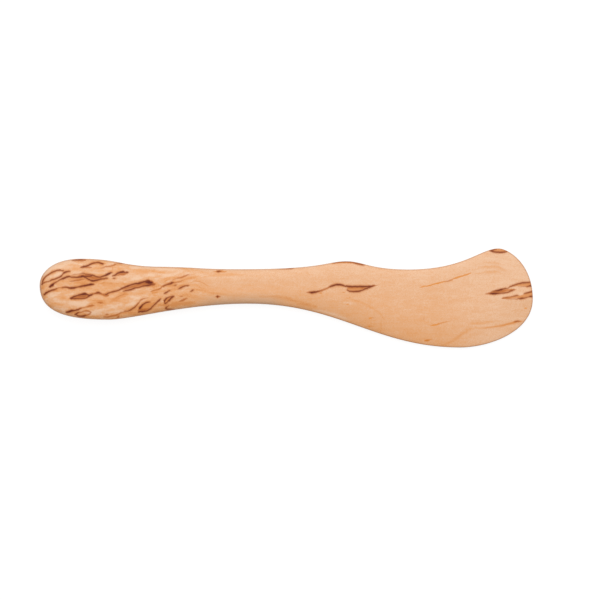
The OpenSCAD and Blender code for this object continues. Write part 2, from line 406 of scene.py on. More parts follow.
# The wood's colours read two notes on each place: how far toward the back or the belly it
# lies, from 1 to -1, and how far in from the edge
noted = add(tree, "GeometryNodeStoreNamedAttribute", {
    "Geometry": grid.outputs["Mesh"], "Name": "toward_back", "Value": toward_back},
    data_type="FLOAT", domain="POINT")
inward = add(tree, "ShaderNodeVectorMath", {0: edge_point.outputs[1], 1: skin_point.outputs[1]},
             operation="DISTANCE")
noted = add(tree, "GeometryNodeStoreNamedAttribute", {
    "Geometry": noted, "Name": "from_edge", "Value": inward.outputs["Value"]},
    data_type="FLOAT", domain="POINT")
carved = add(tree, "GeometryNodeSetPosition", {"Geometry": noted, "Position": skin_place})
joined = add(tree, "GeometryNodeMergeByDistance", {"Geometry": carved, "Distance": 2 * MICRON})
outward_faces = add(tree, "GeometryNodeFlipFaces", {0: joined})
smooth = add(tree, "GeometryNodeSetShadeSmooth", {"Geometry": outward_faces})
real = add(tree, "GeometryNodeRealizeInstances", {0: smooth})
finished = add(tree, "GeometryNodeSetMaterial", {
    "Geometry": real, "Material": given.outputs["Wood"]})
add(tree, "NodeGroupOutput", {0: finished})


# Curly birch, planed, sanded fine and rubbed with oil: a warm even tan with cloudy
# changes of tone, brown flecks grown into the wood, and a dull satin gloss that lifts
# softly on the rounded edges
BIRCH_PALE = "#f5c9a5"
BIRCH = "#eeb689"
BIRCH_WARM = "#eca970"
BIRCH_ORANGE = "#e19455"
STAIN = "#be6522"
STAIN_DEEP = "#8f4a22"
FILL = "#df8e48"
HALO = "#c9783c"
STREAK = "#e58a22"
END_GRAIN = "#d19571"
# Brown of the painted shade line along the edge
EDGE_SHADE_BROWN = "#ad6a3c"
# Grey of the painted reflection on the belly side of the shaft
SHEEN_GREY = "#bba792"
FLECK_BROWN = "#a15324"
FLECK_DARK = "#621f0e"
# Brown of the painted shade on the belly side
PAINTED_SHADE_BROWN = "#a6825f"

# Tone runs from orange at 0 to pale at 1
MIDDLE_TONE = 0.62
# Painted sheen: how much paler the back side is drawn in the handle, in the blade and at its end
HANDLE_BACK_SHEEN = 0.12
BACK_SHEEN = 0.2
END_BACK_SHEEN = 0.06
END_PALER = 0.2
HANDLE_WARMER = 0.14
CLOUD_IN_HANDLE = 0.4
CLOUD_IN_BLADE = 0.12
FIBRE_TONE = 0.05
PORE_TONE = 0.16
WARM_PATCH_TONE = -0.4
PALE_PATCH_TONE = 0.46
# Share of the painted grey sheen on the shaft's belly side
GRIP_SHEEN = 0.42
# Share of the painted shade on the belly side
PAINTED_BELLY_SHADE = 0.1
END_GRAIN_SHARE = 0.55
# Strength of the painted edge shade in the blade and at its end
EDGE_SHADE = 0.3
END_EDGE_SHADE = 0.5
# How far toward the belly, from 0 to -1, the painted grey sheen and the painted belly shade begin and
# are full
SHEEN_FROM_TO = (-0.2, -0.95)
PAINTED_SHADE_FROM_TO = (0.1, -0.9)
# How far a surface faces along the knife where end grain begins to show, and where it is full
END_GRAIN_FROM_TO = (0.55, 1.0)
EDGE_SHADE_FROM_TO = (0.0006, 0.0001)
# The noise lies between these nearly everywhere
NOISE = (0.3, 0.7)
NOISE_MIDDLE = (0.5, 0.5, 0.5)
# Satin oil
ROUGH_MOST_OILED = 0.42
ROUGH_LEAST_OILED = 0.56
ROUGHER_FLECK = 0.1
OIL_SPECULAR = 0.3
OIL_IOR = 1.4
FIBRE_BUMP = 0.15
FIBRE_RISE = 0.00005

# The figure is laid out in millimetres, and places along the knife run from its middle
MM = 1000.0
HANDLE_TO_SHAFT = (-46.0, -18.0)
SWELL_TO_NECK = (-54.0, -44.0)
BLADE_TO_END = (52.0, 78.0)
GRIP_MIDDLE = -16.0
GRIP_FADES = (9.0, 19.0)
GRAIN_LEAN = math.radians(14)
# The figure's slip along and across the knife for each millimetre of depth
SLIP = (2.6, 0.7, 0.0)
# Sizes of the patterns: the wavers of the marks' edges, the clouds and the fibres, which both
# have their length along the knife first, and the pores
WAVER = 0.9091
WAVER_REACH = 0.35
CLOUD = (5.0, 1.613, 1.613)
FIBRE = (10.0, 0.5263, 0.5263)
PORE = 0.4
PATCH_FROM_TO = (0.85, -0.6)
# A stroke's two curves run on past its ends by the cap, while it narrows away to nothing
FAR_OFF = 10.0
STROKE_CAP = 1.0
PAST_STROKE = -0.9

birch = bpy.data.materials.new("curly birch, sanded and oiled")
birch.use_nodes = True
birch.node_tree.nodes.clear()
tree = birch.node_tree
coordinate = add(tree, "ShaderNodeTexCoord")
in_mm = add(tree, "ShaderNodeVectorMath", {0: coordinate.outputs["Object"], "Scale": MM},
            operation="SCALE")
split = add(tree, "ShaderNodeSeparateXYZ", {0: in_mm})
# Below the middle plane the figure slips along and across, as it does deeper in the wood
middle_up = add(tree, "ShaderNodeMapRange", {
    "Value": split.outputs["X"], "From Min": xs[0] * MM, "From Max": xs[-1] * MM,
    "To Min": BUTT_THICK / 2 * MM, "To Max": END_THICK / 2 * MM})
depth = add(tree, "ShaderNodeMath", {0: middle_up, 1: split.outputs["Z"]}, operation="SUBTRACT")
depth = add(tree, "ShaderNodeMath", {0: depth, 1: 0.0}, operation="MAXIMUM")
slip = add(tree, "ShaderNodeVectorMath", {0: SLIP, "Scale": depth}, operation="SCALE")
slipped = add(tree, "ShaderNodeVectorMath", {0: in_mm, 1: slip}, operation="ADD")

# Ragged edges: the flecks' own coordinates waver by about a tenth of a millimetre
ragged = add(tree, "ShaderNodeTexNoise", {"Vector": slipped, "Scale": 1 / WAVER, "Detail": 2.0})
waver = add(tree, "ShaderNodeVectorMath", {0: ragged.outputs["Color"], 1: NOISE_MIDDLE},
            operation="SUBTRACT")
waver = add(tree, "ShaderNodeVectorMath", {0: waver, "Scale": WAVER_REACH}, operation="SCALE")
wavering = add(tree, "ShaderNodeVectorMath", {0: slipped, 1: waver}, operation="ADD")
wavering = add(tree, "ShaderNodeSeparateXYZ", {0: wavering})
figure = add(tree, "ShaderNodeCombineXYZ", {
    "X": wavering.outputs["X"], "Y": wavering.outputs["Y"], "Z": 1.0})


def stroke(points, so_far):
    """The least distance so far to the strokes of a kind, with one more stroke, in millimetres."""
    (x0, y0, _), (x1, y1, _) = points[0], points[-1]
    chord = math.hypot(x1 - x0, y1 - y0)
    along_x = (x1 - x0) / chord
    along_y = (y1 - y0) / chord
    whole = chord + 2 * STROKE_CAP
    before = STROKE_CAP - x0 * along_x - y0 * along_y
    beside = x0 * along_y - y0 * along_x
    # The figure's vector ends in 1, so a dot product both turns the stroke and moves it
    run = add(tree, "ShaderNodeVectorMath", {
        0: figure, 1: (along_x / whole, along_y / whole, before / whole)}, operation="DOT_PRODUCT")
    off = add(tree, "ShaderNodeVectorMath", {
        0: figure, 1: (-along_y, along_x, beside)}, operation="DOT_PRODUCT")
    turned = [((x * along_x + y * along_y + before) / whole, y * along_x - x * along_y + beside, w)
              for x, y, w in points]
    centre = [(0, turned[0][1])] + [(u, v) for u, v, w in turned] + [(1, turned[-1][1])]
    half_width = [(0, PAST_STROKE)] + [(u, w) for u, v, w in turned] + [(1, PAST_STROKE)]
    # One curve along the stroke gives its centre line's place, and another its half width
    drawn = []
    for places, handle in ((centre, "AUTO_CLAMPED"), (half_width, "VECTOR")):
        curve = add(tree, "ShaderNodeFloatCurve", {"Value": run.outputs["Value"]})
        curve.mapping.use_clip = False
        curve.mapping.extend = "HORIZONTAL"
        marks = curve.mapping.curves[0].points
        while len(marks) < len(places):
            marks.new(0.5, 0.0)
        for mark, (u, v) in zip(marks, places):
            mark.location = (u, v)
            mark.handle_type = handle
        curve.mapping.update()
        drawn.append(curve)
    off = add(tree, "ShaderNodeMath", {0: off.outputs["Value"], 1: drawn[0]}, operation="SUBTRACT")
    off = add(tree, "ShaderNodeMath", {0: off}, operation="ABSOLUTE")
    off = add(tree, "ShaderNodeMath", {0: off, 1: drawn[1]}, operation="SUBTRACT")
    return add(tree, "ShaderNodeMath", {0: so_far, 1: off}, operation="MINIMUM")


def nearest(strokes):
    """How far off the nearest of the strokes is, and below 0 inside it, in millimetres."""
    off = add(tree, "ShaderNodeValue")
    off.outputs[0].default_value = FAR_OFF
    for points in strokes.values():
        off = stroke(points, off)
    return off


# Each mark of the figure is drawn as strokes: places along it, as the distance along the knife
# from its middle, the height across it, and half the stroke's width there. Where the half width
# is below 0, only the soft rim of the stroke shows. First the dark brown lines.
dark_strokes = {
    "loop at the butt, upper side": [
        (-89.1, 4.9, 0.22), (-88.8, 5.9, 0.22), (-88.2, 7.1, 0.16), (-87.2, 8.1, 0.12),
        (-86.0, 8.9, 0.14), (-84.8, 9.5, 0.12), (-83.5, 9.95, 0.13), (-82.2, 10.15, 0.16),
        (-81.2, 10.0, 0.12)],
    "loop at the butt, lower side": [
        (-88.9, 5.3, 0.15), (-87.5, 5.8, 0.03), (-86.3, 6.1, 0.02), (-85.3, 6.55, 0.14),
        (-84.0, 6.95, 0.15), (-82.9, 7.4, 0.14), (-82.0, 7.9, 0.2), (-81.3, 8.7, 0.1),
        (-80.8, 9.2, 0.25), (-80.0, 9.5, 0.2), (-79.1, 9.7, 0.16), (-78.7, 9.75, 0.05)],
    "long wave, from its head": [
        (-86.3, 4.0, 0.2), (-85.7, 4.4, 0.42), (-85.0, 4.8, 0.46), (-84.4, 5.4, 0.14),
        (-83.2, 6.1, 0.05), (-82.2, 6.7, 0.1), (-81.2, 7.1, 0.28), (-80.2, 7.5, 0.25),
        (-79.1, 7.8, 0.22), (-78.4, 7.6, 0.16), (-77.0, 7.55, 0.18), (-75.6, 7.6, 0.26),
        (-74.3, 7.9, 0.32)],
    "long wave, to its tail": [
        (-74.6, 7.9, 0.28), (-73.4, 7.55, 0.25), (-72.5, 7.1, 0.2), (-71.6, 6.6, 0.18),
        (-70.6, 6.3, 0.3), (-69.5, 6.4, 0.28), (-68.5, 6.6, 0.22), (-67.4, 6.9, 0.16),
        (-66.3, 7.0, 0.12), (-65.2, 7.2, 0.12)],
    "branch over the wave": [
        (-74.8, 8.8, -0.05), (-74.2, 9.0, 0.02), (-73.2, 8.7, 0.05), (-72.0, 8.5, 0.12),
        (-70.8, 8.3, 0.2), (-69.8, 8.0, 0.2), (-68.8, 7.65, 0.16), (-67.9, 7.6, 0.14),
        (-67.0, 7.8, 0.16), (-66.0, 8.2, 0.25), (-65.0, 8.65, 0.36), (-64.2, 9.0, 0.3),
        (-63.5, 9.2, 0.06)],
    "bridge from wave to branch": [
        (-74.4, 7.95, 0.3), (-73.0, 7.85, 0.25), (-71.8, 7.9, 0.2), (-70.8, 8.1, 0.22)],
    "arch by the back of the butt": [
        (-74.8, 11.1, 0.15), (-73.8, 11.4, 0.25), (-72.7, 11.6, 0.24), (-71.7, 12.1, 0.22),
        (-70.8, 12.5, 0.2), (-69.6, 12.8, 0.15), (-68.6, 12.9, 0.15), (-67.8, 12.7, 0.2),
        (-67.1, 12.5, 0.26), (-66.6, 12.4, 0.05)],
    "mark over the edge of the butt": [
        (-78.0, 13.65, -0.05), (-77.0, 13.75, 0.06), (-75.8, 13.95, 0.15), (-74.6, 14.05, 0.1),
        (-73.6, 14.1, -0.05)],
    "line from the butt": [
        (-88.2, 1.2, 0.22), (-87.5, 1.8, 0.3), (-86.6, 2.3, 0.22), (-85.6, 2.7, 0.2),
        (-84.6, 3.0, 0.2), (-83.6, 3.4, 0.05)],
    "line from the butt, going on": [
        (-81.6, 3.8, 0.02), (-80.4, 3.9, 0.12), (-79.3, 3.7, 0.18), (-78.2, 3.6, 0.33),
        (-77.2, 3.7, 0.26), (-76.3, 3.9, 0.12), (-75.2, 4.1, 0.18), (-74.2, 4.3, 0.3),
        (-73.0, 4.5, 0.3), (-72.0, 4.75, 0.28), (-71.2, 4.9, 0.36), (-70.4, 4.95, 0.22),
        (-70.0, 5.0, 0.0)],
    "pocket, upper side": [
        (-78.6, -0.1, 0.22), (-77.9, 0.15, 0.28), (-77.0, 0.6, 0.24), (-76.0, 0.9, 0.2),
        (-75.0, 1.15, 0.28), (-74.0, 1.4, 0.4), (-73.2, 1.45, 0.42), (-72.5, 1.3, 0.28),
        (-71.9, 1.1, 0.26)],
    "pocket, lower side": [
        (-78.4, -0.2, 0.24), (-77.3, -0.25, 0.18), (-76.2, -0.2, 0.18), (-75.0, -0.25, 0.14),
        (-74.0, -0.2, 0.12), (-73.0, 0.0, 0.14), (-72.3, 0.4, 0.18), (-71.6, 0.9, 0.34),
        (-70.9, 1.2, 0.25), (-70.3, 1.45, 0.06)],
    "knot after the pocket": [
        (-69.8, 1.6, 0.0), (-69.2, 1.8, 0.16), (-68.5, 1.9, 0.26), (-67.8, 1.8, 0.14),
        (-67.3, 1.6, 0.0)],
    "club, upper side": [
        (-65.8, 1.2, 0.2), (-65.1, 1.6, 0.2), (-64.2, 1.95, 0.13), (-63.0, 2.3, 0.16),
        (-61.8, 2.6, 0.14), (-60.8, 3.0, 0.17), (-59.8, 3.5, 0.2), (-58.8, 3.9, 0.2),
        (-57.8, 4.3, 0.26), (-56.8, 4.7, 0.2), (-55.8, 5.0, 0.2), (-54.6, 5.2, 0.26),
        (-53.4, 5.4, 0.3), (-52.4, 5.75, 0.25), (-51.4, 6.05, 0.28), (-50.5, 6.2, 0.38),
        (-49.7, 6.1, 0.42), (-49.0, 5.8, 0.25)],
    "club, head": [
        (-51.8, 5.75, 0.0), (-50.9, 5.7, 0.4), (-50.0, 5.65, 0.62), (-49.3, 5.6, 0.56),
        (-48.8, 5.5, 0.3), (-48.4, 5.3, -0.1)],
    "club, lower side": [
        (-59.4, 2.4, 0.03), (-58.5, 2.65, 0.16), (-57.5, 2.85, 0.18), (-56.5, 3.1, 0.2),
        (-55.5, 3.45, 0.22), (-54.6, 3.75, 0.13), (-53.6, 3.95, 0.13), (-52.5, 4.3, 0.14),
        (-51.4, 4.45, 0.2), (-50.4, 4.6, 0.26), (-49.6, 4.8, 0.28), (-48.8, 4.9, 0.16),
        (-48.1, 4.9, 0.0)],
    "mark over the club": [
        (-63.4, 8.0, 0.02), (-62.6, 8.25, 0.18), (-61.9, 8.7, 0.22), (-61.2, 9.15, 0.24),
        (-60.4, 9.35, 0.3), (-59.6, 9.45, 0.34), (-59.0, 9.4, 0.24), (-58.5, 9.3, 0.12),
        (-58.0, 9.35, 0.28), (-57.6, 9.4, 0.06)],
    "dot under it": [(-63.1, 7.1, -0.05), (-62.7, 7.15, 0.12), (-62.3, 7.2, -0.05)],
    "mark on the back of the handle": [
        (-61.8, 12.5, -0.2), (-61.0, 12.6, -0.08), (-60.2, 12.6, -0.02), (-59.5, 12.5, -0.2)],
    "streak in the swell": [
        (-80.2, -5.2, 0.18), (-79.3, -5.05, 0.33), (-78.5, -4.75, 0.36), (-77.7, -4.6, 0.28),
        (-76.8, -4.5, 0.2), (-76.0, -4.3, 0.2), (-75.2, -3.95, 0.12), (-74.6, -3.7, 0.0)],
    "little loop, left side": [
        (-77.0, -6.1, 0.14), (-76.5, -5.8, 0.22), (-76.0, -5.4, 0.2), (-75.5, -5.2, 0.03)],
    "little loop, underside": [
        (-76.8, -6.1, 0.14), (-75.9, -6.5, 0.15), (-75.0, -6.65, 0.15), (-74.3, -6.6, 0.22),
        (-73.6, -6.5, 0.25), (-73.0, -6.3, 0.05)],
    "fine line behind the swell": [
        (-59.0, -4.95, -0.06), (-58.0, -4.8, 0.02), (-57.2, -4.55, 0.1), (-56.4, -4.15, 0.13),
        (-55.7, -3.7, 0.11), (-55.0, -3.1, 0.08), (-54.4, -2.5, 0.02), (-53.8, -1.8, -0.06)],
    "hook, lower side": [
        (-53.8, -5.1, 0.24), (-52.9, -5.0, 0.28), (-52.0, -4.85, 0.26), (-51.2, -4.75, 0.2),
        (-50.5, -4.5, 0.18), (-49.8, -4.1, 0.18), (-49.0, -3.4, 0.16), (-48.2, -2.6, 0.16),
        (-47.5, -1.9, 0.16), (-46.8, -1.2, 0.18), (-46.2, -0.7, 0.2), (-45.8, -0.3, 0.04)],
    "hook, upper side": [
        (-53.6, -3.9, 0.3), (-53.2, -3.5, 0.45), (-52.7, -2.9, 0.3), (-52.1, -2.3, 0.2),
        (-51.4, -1.8, 0.18), (-50.7, -1.6, 0.22), (-50.1, -1.5, 0.14), (-49.7, -1.45, 0.0)],
    "ear, outer side": [
        (-44.3, -1.9, 0.28), (-44.5, -1.3, 0.28), (-44.2, -0.7, 0.24), (-43.8, -0.2, 0.22),
        (-43.2, 0.1, 0.13), (-42.6, 0.35, 0.08), (-42.0, 0.5, 0.12), (-41.4, 0.8, 0.06)],
    "ear, inner side": [
        (-43.2, -1.2, 0.12), (-42.8, -0.9, 0.28), (-42.3, -0.4, 0.2), (-41.9, 0.1, 0.23),
        (-41.5, 0.4, 0.28), (-41.0, 0.7, 0.1)],
    "ear, foot": [(-44.2, -2.0, 0.24), (-43.6, -1.7, 0.12), (-43.2, -1.3, 0.1)],
    "mark over the ear": [
        (-44.5, 1.6, 0.05), (-44.0, 1.85, 0.2), (-43.5, 2.15, 0.14), (-43.0, 2.5, 0.06),
        (-42.4, 2.8, -0.02)],
    "end of the warm line": [
        (-44.9, 4.2, 0.03), (-44.3, 4.6, 0.1), (-43.4, 4.9, 0.1), (-42.8, 5.0, 0.16),
        (-42.2, 5.2, 0.22), (-41.7, 5.5, 0.28), (-41.1, 5.7, 0.03)],
    "short mark, first": [(-41.0, 4.5, -0.08), (-40.5, 4.6, 0.04), (-40.0, 4.8, -0.1)],
    "short mark, second": [
        (-39.3, 3.3, 0.02), (-38.7, 3.6, 0.18), (-38.1, 3.95, 0.18), (-37.5, 4.2, 0.1),
        (-36.8, 4.4, 0.07), (-36.0, 4.5, 0.1), (-35.5, 4.6, -0.05)],
    "short mark, third": [
        (-35.0, 2.3, -0.05), (-34.6, 2.5, 0.08), (-34.2, 2.8, 0.14), (-33.8, 2.95, -0.05)],
    "cup on the under edge, side": [
        (-42.9, -2.8, -0.1), (-43.5, -3.2, 0.08), (-43.9, -3.6, 0.2), (-44.0, -4.0, 0.16)],
    "cup on the under edge, foot": [
        (-44.1, -3.9, 0.12), (-43.2, -4.1, 0.16), (-42.2, -4.15, 0.06), (-41.0, -4.1, -0.06)],
    "pin knot": [(-25.5, 0.5, 0.0), (-25.1, 0.5, 0.32), (-24.7, 0.5, 0.0)],
    "pin knot by the back": [
        (-25.4, 9.65, 0.0), (-24.9, 9.65, 0.18), (-24.3, 9.7, 0.1), (-23.8, 9.75, -0.06)],
    "line on the back of the neck": [
        (-2.6, 10.5, -0.3), (-0.8, 10.55, -0.16), (0.4, 10.65, -0.06), (1.5, 10.8, 0.02),
        (2.6, 10.9, -0.2)],
    "blade mark, from its tip": [
        (8.3, 2.0, 0.1), (9.0, 2.0, 0.34), (9.9, 2.1, 0.34), (11.0, 2.25, 0.22), (12.0, 2.5, 0.06),
        (13.0, 2.8, -0.12), (14.0, 3.1, -0.3), (15.0, 3.7, -0.2), (16.0, 4.2, 0.2),
        (17.0, 4.5, 0.28), (18.0, 4.8, 0.26), (19.0, 4.85, 0.28), (20.0, 4.75, 0.26),
        (21.0, 4.5, 0.2), (21.8, 4.3, 0.2)],
    "blade mark, upper side": [
        (21.6, 4.3, 0.2), (23.0, 4.15, 0.27), (25.0, 4.15, 0.25), (27.0, 4.15, 0.27),
        (29.0, 4.15, 0.27), (30.5, 4.2, 0.26), (31.5, 4.35, 0.2), (32.2, 4.5, 0.0)],
    "blade mark, lower side": [
        (22.1, 2.9, 0.08), (22.6, 2.6, 0.18), (23.5, 2.4, 0.18), (25.0, 2.35, 0.2),
        (26.3, 2.45, 0.2), (27.3, 2.7, 0.18), (28.3, 3.15, 0.18), (29.3, 3.5, 0.2),
        (30.3, 3.95, 0.23), (31.3, 4.2, 0.1)],
    "brown of the thumb rest's edge": [
        (16.8, 12.75, -0.1), (18.0, 12.9, -0.02), (19.5, 13.1, 0.02), (21.0, 13.2, 0.04),
        (23.0, 13.15, 0.04), (24.5, 12.85, 0.06), (26.0, 12.5, 0.12), (27.8, 12.1, 0.1),
        (28.5, 11.95, -0.1)],
    "lens over the corner, left": [
        (74.3, 17.2, 0.08), (75.0, 17.3, 0.22), (75.8, 17.65, 0.15), (76.6, 17.9, 0.06)],
    "lens over the corner, lower side": [
        (74.6, 17.2, 0.14), (75.2, 17.05, 0.22), (76.3, 16.8, 0.17), (77.5, 16.7, 0.18),
        (78.8, 16.7, 0.18), (79.8, 16.8, 0.14), (80.5, 16.95, 0.05)],
    "end mark, first, lower side": [
        (74.3, 1.6, 0.14), (75.3, 1.6, 0.34), (76.5, 1.65, 0.28), (77.8, 1.7, 0.14),
        (79.2, 1.8, 0.1), (80.5, 2.0, 0.1), (81.5, 2.4, 0.13), (82.5, 2.8, 0.1),
        (83.3, 3.0, -0.05)],
    "end mark, first, upper side": [
        (75.4, 2.4, -0.05), (76.3, 2.6, 0.12), (77.3, 2.75, 0.3), (78.3, 3.0, 0.3),
        (79.2, 3.25, 0.16), (80.1, 3.45, 0.1), (80.8, 3.4, -0.05)],
    "end mark, over the edge": [
        (80.7, 3.55, -0.05), (81.4, 4.0, 0.05), (82.2, 4.35, 0.1), (83.2, 4.7, 0.1),
        (84.3, 5.05, 0.11), (85.3, 5.3, 0.15), (86.5, 5.55, 0.16), (87.8, 5.65, 0.13),
        (90.5, 5.7, 0.13), (97.0, 5.5, 0.1)],
    "end mark, at the edge": [
        (87.8, 4.2, 0.0), (88.5, 4.3, 0.12), (89.1, 4.5, 0.26), (90.5, 4.8, 0.2), (97.0, 5.0, 0.1)],
    "end mark, second, upper side": [
        (79.0, -0.05, -0.05), (80.0, 0.15, 0.0), (81.5, 0.35, -0.05), (82.7, 0.6, 0.0),
        (83.8, 0.85, 0.08), (84.6, 0.95, 0.0)],
    "end mark, second, over the edge": [
        (86.8, 1.55, 0.0), (87.6, 1.8, 0.12), (88.5, 2.0, 0.15), (90.5, 2.6, 0.2),
        (97.0, 3.6, 0.1)],
    "end mark, second, lower side": [
        (84.6, -0.25, 0.0), (85.4, -0.2, 0.17), (86.2, -0.1, 0.2), (87.0, 0.0, 0.08),
        (88.2, 0.3, 0.0), (89.2, 0.55, 0.22), (90.5, 0.6, 0.2), (97.0, 1.0, 0.1)],
    "warm mark on the edge, its heart": [
        (50.8, -15.55, -0.28), (51.3, -15.5, -0.18), (51.9, -15.4, -0.28)],
    "streak by the belly, its dark end": [
        (83.2, -8.75, -0.1), (83.9, -8.6, 0.03), (84.7, -8.5, 0.01), (85.3, -8.5, -0.1)],
}
# The warm brown stain beside and between the dark lines
stain_strokes = {
    "under the arch": [(-74.2, 11.1, 0.05), (-72.5, 11.15, 0.1), (-71.0, 11.1, 0.0)],
    "mark over the butt, warm end": [(-76.0, 13.6, 0.1), (-74.2, 13.7, 0.15), (-73.2, 13.9, 0.1)],
    "between wave and branch": [
        (-75.4, 8.2, 0.0), (-74.2, 8.2, 0.2), (-72.8, 8.1, 0.4), (-71.2, 7.7, 0.45),
        (-70.0, 7.3, 0.15), (-69.0, 7.2, 0.2), (-67.6, 7.4, 0.1)],
    "under the wave": [
        (-78.9, 6.0, -0.1), (-77.5, 6.2, 0.1), (-76.0, 6.45, 0.12), (-74.4, 6.75, 0.05),
        (-73.4, 6.9, -0.2)],
    "over the wave": [
        (-78.6, 8.2, -0.2), (-77.2, 8.5, 0.0), (-76.0, 8.6, -0.12), (-75.0, 8.7, 0.0)],
    "line from the butt, warm link": [(-83.8, 3.3, 0.05), (-82.6, 3.7, -0.05), (-81.4, 3.8, 0.0)],
    "inside the pocket": [
        (-77.2, 0.1, 0.1), (-75.4, 0.4, 0.4), (-73.6, 0.6, 0.55), (-72.2, 0.8, 0.3)],
    "after the pocket": [
        (-70.3, 1.5, 0.1), (-69.0, 1.8, 0.3), (-68.0, 1.6, 0.2), (-67.0, 1.3, 0.15),
        (-65.9, 1.1, 0.45), (-64.9, 0.9, 0.15)],
    "inside the club": [
        (-60.5, 3.0, -0.15), (-58.5, 3.4, 0.05), (-56.5, 4.0, 0.2), (-54.5, 4.5, 0.15),
        (-52.5, 5.0, 0.3), (-51.0, 5.2, 0.6), (-49.5, 5.4, 0.9), (-48.5, 5.3, 0.6),
        (-47.9, 5.1, 0.1)],
    "under the mark over the club": [
        (-62.2, 8.0, -0.1), (-61.2, 8.4, 0.1), (-60.2, 8.6, 0.2), (-59.2, 8.7, 0.26),
        (-58.2, 9.1, 0.0)],
    "streak in the swell, warm tail": [
        (-75.6, -4.0, 0.1), (-74.4, -3.6, 0.0), (-73.0, -3.35, -0.05), (-71.7, -2.95, 0.15),
        (-70.7, -2.75, 0.15), (-69.6, -2.7, -0.2)],
    "little loop, right side": [
        (-73.6, -6.5, 0.0), (-72.6, -6.2, 0.1), (-71.7, -5.8, 0.1), (-71.2, -5.3, 0.05)],
    "little loop, upper side": [
        (-75.4, -5.3, 0.05), (-74.2, -5.0, 0.05), (-72.9, -4.75, 0.1), (-71.9, -4.85, 0.1),
        (-71.1, -5.2, 0.0)],
    "smudge after the streak": [(-68.6, -1.6, -0.1), (-67.6, -1.75, 0.1), (-66.8, -1.8, -0.1)],
    "smudge under the club": [
        (-62.8, -0.3, -0.35), (-61.6, 0.25, -0.15), (-60.4, 0.9, -0.1), (-59.4, 1.3, -0.15),
        (-58.7, 1.6, -0.35)],
    "streak along the under edge": [
        (-66.6, -6.95, 0.0), (-65.0, -6.9, 0.1), (-63.6, -6.6, 0.1), (-62.2, -6.3, 0.1),
        (-61.0, -5.8, 0.05), (-59.8, -5.2, 0.0), (-58.4, -4.95, -0.05)],
    "spot over that streak": [(-66.0, -6.15, -0.1), (-65.4, -6.05, 0.1), (-64.8, -6.0, -0.1)],
    "spot on the under edge": [(-61.6, -7.2, 0.05), (-61.3, -6.9, 0.15), (-61.1, -6.6, 0.0)],
    "fine line, warm end": [
        (-54.4, -2.4, 0.0), (-53.5, -1.4, 0.0), (-52.8, -0.6, 0.1), (-51.8, -0.15, 0.0),
        (-50.4, 0.2, -0.2)],
    "inside the hook, dark corner": [
        (-53.8, -4.6, 0.3), (-52.6, -4.4, 0.4), (-51.4, -4.2, 0.2), (-50.2, -3.8, -0.1)],
    "warm line, first": [
        (-49.5, 2.3, -0.2), (-48.7, 2.6, -0.05), (-47.8, 2.9, -0.05), (-46.6, 3.1, 0.0),
        (-45.6, 3.8, 0.1), (-44.8, 4.4, 0.05), (-43.4, 4.9, 0.1), (-41.8, 5.5, 0.2),
        (-40.4, 5.6, 0.0), (-38.8, 6.0, -0.05), (-37.5, 6.5, -0.2)],
    "warm line, second": [
        (-41.6, 6.5, -0.2), (-40.0, 7.15, -0.1), (-38.3, 7.45, 0.1), (-37.2, 7.9, 0.1),
        (-36.1, 8.35, 0.0), (-34.4, 8.5, -0.3), (-32.8, 8.9, -0.4)],
    "round the pale patch at the back": [
        (-67.6, 10.8, -0.1), (-66.0, 11.3, 0.0), (-64.5, 11.5, 0.05), (-63.3, 11.8, 0.05),
        (-62.2, 12.3, 0.1)],
    "short warm mark": [
        (-38.9, -1.2, -0.05), (-38.1, -0.9, 0.22), (-37.4, -0.6, 0.22), (-36.2, -0.1, -0.05)],
    "speck over it": [(-38.8, 0.5, -0.1), (-38.3, 0.55, 0.05), (-37.8, 0.6, -0.1)],
    "round the pin knot": [(-25.6, 0.5, 0.0), (-24.9, 0.5, 0.25), (-24.2, 0.45, 0.0)],
    "blade mark, before its tip": [(7.3, 1.95, -0.1), (8.0, 2.0, 0.1), (8.8, 2.0, 0.1)],
    "blade mark, thin part": [
        (11.5, 2.4, 0.0), (13.0, 2.8, 0.12), (14.5, 3.4, 0.1), (16.0, 4.15, 0.1)],
    "blade mark, spots inside": [
        (22.2, 3.7, 0.0), (23.0, 3.6, -0.15), (24.0, 3.75, 0.15), (25.2, 3.7, -0.05),
        (26.5, 3.65, -0.15), (27.6, 3.6, 0.05), (28.3, 3.7, -0.1)],
    "blade mark, after its end": [(31.6, 4.4, 0.05), (32.6, 4.55, -0.1), (33.8, 4.8, -0.3)],
    "inside the first end mark": [
        (72.6, 1.5, -0.1), (73.4, 1.55, 0.06), (74.0, 1.65, 0.2), (76.0, 2.1, 0.55),
        (78.0, 2.35, 0.35), (79.5, 2.6, 0.1), (80.5, 2.8, -0.1), (83.0, 3.1, -0.15)],
    "dot by the belly": [(49.8, -7.75, -0.25), (50.05, -7.6, -0.18), (50.3, -7.5, -0.25)],
    "warm line across the blade, browner": [
        (56.4, 5.7, -0.25), (58.5, 6.1, -0.03), (60.0, 6.5, -0.03), (61.0, 7.0, -0.1),
        (62.5, 7.5, -0.25)],
    "warm mark on the edge, brown spot": [
        (50.7, -15.55, -0.1), (51.3, -15.5, 0.1), (52.2, -15.3, -0.15), (53.6, -15.1, -0.3)],
    "warm dot in the blade, tail": [(31.0, -7.25, -0.15), (32.5, -7.15, -0.3)],
    "under side of the second end mark": [
        (78.8, -0.2, -0.1), (80.5, -0.2, 0.0), (82.5, -0.35, -0.08), (84.4, -0.4, 0.0)],
    "under side of the mark over the edge": [
        (84.6, 4.1, -0.2), (86.0, 4.15, -0.1), (88.0, 4.2, 0.0)],
}
